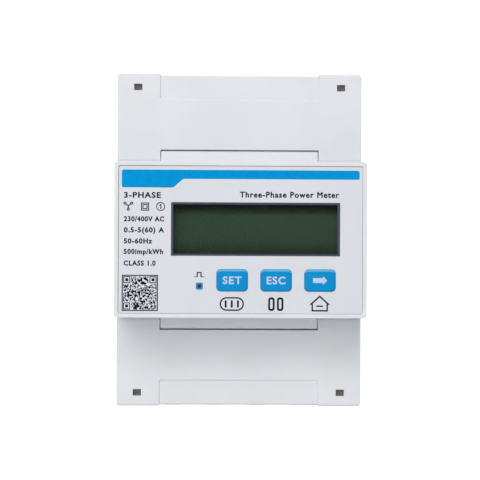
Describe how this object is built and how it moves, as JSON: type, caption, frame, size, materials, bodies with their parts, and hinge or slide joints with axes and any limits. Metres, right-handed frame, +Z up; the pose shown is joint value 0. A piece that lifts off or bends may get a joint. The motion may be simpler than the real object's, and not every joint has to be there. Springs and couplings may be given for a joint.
{
  "type": "electric meter",
  "caption": "Three-phase electric meter for a 35 mm rail, with display window, three keys, hinged terminal covers, screw cage terminals and a sprung rail clip.",
  "frame": {"origin": "centre of the rail seat, midway between the edges of the rail channel, on the plane the rail rests on", "axes": "+X to the right as seen from the front, +Y out of the back toward the rail, +Z up; the face looks toward -Y"},
  "size_m": [0.072, 0.0655, 0.1015],
  "materials": {
    "housing_plastic": "fine satin",
    "face_label": "satin print",
    "window_clear": "clear",
    "lcd_glass": "gloss",
    "black_plastic": "matt",
    "key_blue": "satin",
    "switch_metal": "satin",
    "lamp_red": "clear tinted",
    "board_green": "solder mask",
    "capacitor_sleeve": "gloss",
    "varistor_coat": "gloss",
    "ct_case": "satin",
    "copper": "satin",
    "block_plastic": "matt",
    "steel_zinc": "zinc plated",
    "clip_plastic": "satin",
    "spring_steel": "drawn wire",
    "screw_nickel": "nickel plated",
    "cage_steel": "zinc plated"
  },
  "bodies": {
    "housing": {"base_housing": "housing_plastic", "front_housing": "housing_plastic", "faceplate": "face_label", "display_window": "window_clear", "lcd_panel": "lcd_glass", "lcd_holder": "black_plastic", "tact_switches": "switch_metal", "pulse_led": "lamp_red", "light_pipe": "lamp_red", "display_board": "board_green", "board_header": "black_plastic", "power_board": "board_green", "transformer": "black_plastic", "capacitors": "capacitor_sleeve", "varistors": "varistor_coat", "board_ics": "black_plastic", "current_transformers": "ct_case", "busbar_1": "copper", "busbar_2": "copper", "busbar_3": "copper", "busbar_n": "copper", "terminal_block_top": "block_plastic", "terminal_block_bottom": "block_plastic", "signal_tabs": "copper", "clip_spring": "spring_steel", "housing_screws": "steel_zinc", "board_screws": "steel_zinc"},
    "cover_bottom": {"terminal_cover_bottom": "housing_plastic"},
    "cover_top": {"terminal_cover_top": "housing_plastic"},
    "clip": {"din_clip": "clip_plastic"},
    "key_esc_body": {"key_esc": "key_blue", "switch_plunger_esc": "black_plastic"},
    "key_next_body": {"key_next": "key_blue", "switch_plunger_next": "black_plastic"},
    "key_set_body": {"key_set": "key_blue", "switch_plunger_set": "black_plastic"},
    "line_screw_bottom_1_body": {"line_screw_bottom_1": "screw_nickel"},
    "line_cage_bottom_1_body": {"line_cage_bottom_1": "cage_steel"},
    "line_screw_bottom_2_body": {"line_screw_bottom_2": "screw_nickel"},
    "line_cage_bottom_2_body": {"line_cage_bottom_2": "cage_steel"},
    "line_screw_bottom_3_body": {"line_screw_bottom_3": "screw_nickel"},
    "line_cage_bottom_3_body": {"line_cage_bottom_3": "cage_steel"},
    "line_screw_bottom_4_body": {"line_screw_bottom_4": "screw_nickel"},
    "line_cage_bottom_4_body": {"line_cage_bottom_4": "cage_steel"},
    "line_screw_top_1_body": {"line_screw_top_1": "screw_nickel"},
    "line_cage_top_1_body": {"line_cage_top_1": "cage_steel"},
    "line_screw_top_2_body": {"line_screw_top_2": "screw_nickel"},
    "line_cage_top_2_body": {"line_cage_top_2": "cage_steel"},
    "line_screw_top_3_body": {"line_screw_top_3": "screw_nickel"},
    "line_cage_top_3_body": {"line_cage_top_3": "cage_steel"},
    "line_screw_top_4_body": {"line_screw_top_4": "screw_nickel"},
    "line_cage_top_4_body": {"line_cage_top_4": "cage_steel"},
    "signal_screw_bottom_1_body": {"signal_screw_bottom_1": "screw_nickel"},
    "signal_cage_bottom_1_body": {"signal_cage_bottom_1": "cage_steel"},
    "signal_screw_bottom_2_body": {"signal_screw_bottom_2": "screw_nickel"},
    "signal_cage_bottom_2_body": {"signal_cage_bottom_2": "cage_steel"},
    "signal_screw_top_1_body": {"signal_screw_top_1": "screw_nickel"},
    "signal_cage_top_1_body": {"signal_cage_top_1": "cage_steel"},
    "signal_screw_top_2_body": {"signal_screw_top_2": "screw_nickel"},
    "signal_cage_top_2_body": {"signal_cage_top_2": "cage_steel"}
  },
  "joints": [
    {"name": "cover_bottom_hinge", "type": "hinge", "parent": "housing", "child": "cover_bottom", "pos_m": [0, -0.0418, -0.0238], "axis": [-1, 0, 0], "range_deg": [0, 90]},
    {"name": "cover_top_hinge", "type": "hinge", "parent": "housing", "child": "cover_top", "pos_m": [0, -0.0418, 0.0238], "axis": [1, 0, 0], "range_deg": [0, 90]},
    {"name": "din_clip_slide", "type": "slide", "parent": "housing", "child": "clip", "axis": [0, 0, -1], "range_m": [0, 0.0045], "stiffness_N_per_m": 900, "springref_m": -0.003, "deforming": ["clip_spring"]},
    {"name": "key_esc_press", "type": "slide", "parent": "housing", "child": "key_esc_body", "axis": [0, 1, 0], "range_m": [0, 0.0005], "stiffness_N_per_m": 1500, "springref_m": -0.0005},
    {"name": "key_next_press", "type": "slide", "parent": "housing", "child": "key_next_body", "axis": [0, 1, 0], "range_m": [0, 0.0005], "stiffness_N_per_m": 1500, "springref_m": -0.0005},
    {"name": "key_set_press", "type": "slide", "parent": "housing", "child": "key_set_body", "axis": [0, 1, 0], "range_m": [0, 0.0005], "stiffness_N_per_m": 1500, "springref_m": -0.0005},
    {"name": "line_screw_bottom_1_turn", "type": "hinge", "parent": "housing", "child": "line_screw_bottom_1_body", "pos_m": [-0.0258, -0.0381, -0.039], "axis": [0, 1, 0], "range_deg": [0, 2612]},
    {"name": "line_cage_bottom_1_rise", "type": "slide", "parent": "housing", "child": "line_cage_bottom_1_body", "axis": [0, -1, 0], "range_m": [0, 0.0058]},
    {"name": "line_screw_bottom_2_turn", "type": "hinge", "parent": "housing", "child": "line_screw_bottom_2_body", "pos_m": [-0.013, -0.0381, -0.039], "axis": [0, 1, 0], "range_deg": [0, 2612]},
    {"name": "line_cage_bottom_2_rise", "type": "slide", "parent": "housing", "child": "line_cage_bottom_2_body", "axis": [0, -1, 0], "range_m": [0, 0.0058]},
    {"name": "line_screw_bottom_3_turn", "type": "hinge", "parent": "housing", "child": "line_screw_bottom_3_body", "pos_m": [-0.0002, -0.0381, -0.039], "axis": [0, 1, 0], "range_deg": [0, 2612]},
    {"name": "line_cage_bottom_3_rise", "type": "slide", "parent": "housing", "child": "line_cage_bottom_3_body", "axis": [0, -1, 0], "range_m": [0, 0.0058]},
    {"name": "line_screw_bottom_4_turn", "type": "hinge", "parent": "housing", "child": "line_screw_bottom_4_body", "pos_m": [0.0126, -0.0381, -0.039], "axis": [0, 1, 0], "range_deg": [0, 2612]},
    {"name": "line_cage_bottom_4_rise", "type": "slide", "parent": "housing", "child": "line_cage_bottom_4_body", "axis": [0, -1, 0], "range_m": [0, 0.0058]},
    {"name": "line_screw_top_1_turn", "type": "hinge", "parent": "housing", "child": "line_screw_top_1_body", "pos_m": [-0.0258, -0.0381, 0.039], "axis": [0, 1, 0], "range_deg": [0, 2612]},
    {"name": "line_cage_top_1_rise", "type": "slide", "parent": "housing", "child": "line_cage_top_1_body", "axis": [0, -1, 0], "range_m": [0, 0.0058]},
    {"name": "line_screw_top_2_turn", "type": "hinge", "parent": "housing", "child": "line_screw_top_2_body", "pos_m": [-0.013, -0.0381, 0.039], "axis": [0, 1, 0], "range_deg": [0, 2612]},
    {"name": "line_cage_top_2_rise", "type": "slide", "parent": "housing", "child": "line_cage_top_2_body", "axis": [0, -1, 0], "range_m": [0, 0.0058]},
    {"name": "line_screw_top_3_turn", "type": "hinge", "parent": "housing", "child": "line_screw_top_3_body", "pos_m": [-0.0002, -0.0381, 0.039], "axis": [0, 1, 0], "range_deg": [0, 2612]},
    {"name": "line_cage_top_3_rise", "type": "slide", "parent": "housing", "child": "line_cage_top_3_body", "axis": [0, -1, 0], "range_m": [0, 0.0058]},
    {"name": "line_screw_top_4_turn", "type": "hinge", "parent": "housing", "child": "line_screw_top_4_body", "pos_m": [0.0126, -0.0381, 0.039], "axis": [0, 1, 0], "range_deg": [0, 2612]},
    {"name": "line_cage_top_4_rise", "type": "slide", "parent": "housing", "child": "line_cage_top_4_body", "axis": [0, -1, 0], "range_m": [0, 0.0058]},
    {"name": "signal_screw_bottom_1_turn", "type": "hinge", "parent": "housing", "child": "signal_screw_bottom_1_body", "pos_m": [0.0226, -0.0381, -0.039], "axis": [0, 1, 0], "range_deg": [0, 2018]},
    {"name": "signal_cage_bottom_1_rise", "type": "slide", "parent": "housing", "child": "signal_cage_bottom_1_body", "axis": [0, -1, 0], "range_m": [0, 0.0028]},
    {"name": "signal_screw_bottom_2_turn", "type": "hinge", "parent": "housing", "child": "signal_screw_bottom_2_body", "pos_m": [0.028, -0.0381, -0.039], "axis": [0, 1, 0], "range_deg": [0, 2018]},
    {"name": "signal_cage_bottom_2_rise", "type": "slide", "parent": "housing", "child": "signal_cage_bottom_2_body", "axis": [0, -1, 0], "range_m": [0, 0.0028]},
    {"name": "signal_screw_top_1_turn", "type": "hinge", "parent": "housing", "child": "signal_screw_top_1_body", "pos_m": [0.0226, -0.0381, 0.039], "axis": [0, 1, 0], "range_deg": [0, 2018]},
    {"name": "signal_cage_top_1_rise", "type": "slide", "parent": "housing", "child": "signal_cage_top_1_body", "axis": [0, -1, 0], "range_m": [0, 0.0028]},
    {"name": "signal_screw_top_2_turn", "type": "hinge", "parent": "housing", "child": "signal_screw_top_2_body", "pos_m": [0.028, -0.0381, 0.039], "axis": [0, 1, 0], "range_deg": [0, 2018]},
    {"name": "signal_cage_top_2_rise", "type": "slide", "parent": "housing", "child": "signal_cage_top_2_body", "axis": [0, -1, 0], "range_m": [0, 0.0028]}
  ],
  "couplings": [
    {"joint": "line_screw_bottom_1_turn", "follows": "line_cage_bottom_1_rise", "rad_per_m": 7854},
    {"joint": "line_screw_bottom_2_turn", "follows": "line_cage_bottom_2_rise", "rad_per_m": 7854},
    {"joint": "line_screw_bottom_3_turn", "follows": "line_cage_bottom_3_rise", "rad_per_m": 7854},
    {"joint": "line_screw_bottom_4_turn", "follows": "line_cage_bottom_4_rise", "rad_per_m": 7854},
    {"joint": "line_screw_top_1_turn", "follows": "line_cage_top_1_rise", "rad_per_m": 7854},
    {"joint": "line_screw_top_2_turn", "follows": "line_cage_top_2_rise", "rad_per_m": 7854},
    {"joint": "line_screw_top_3_turn", "follows": "line_cage_top_3_rise", "rad_per_m": 7854},
    {"joint": "line_screw_top_4_turn", "follows": "line_cage_top_4_rise", "rad_per_m": 7854},
    {"joint": "signal_screw_bottom_1_turn", "follows": "signal_cage_bottom_1_rise", "rad_per_m": 12566},
    {"joint": "signal_screw_bottom_2_turn", "follows": "signal_cage_bottom_2_rise", "rad_per_m": 12566},
    {"joint": "signal_screw_top_1_turn", "follows": "signal_cage_top_1_rise", "rad_per_m": 12566},
    {"joint": "signal_screw_top_2_turn", "follows": "signal_cage_top_2_rise", "rad_per_m": 12566}
  ]
}
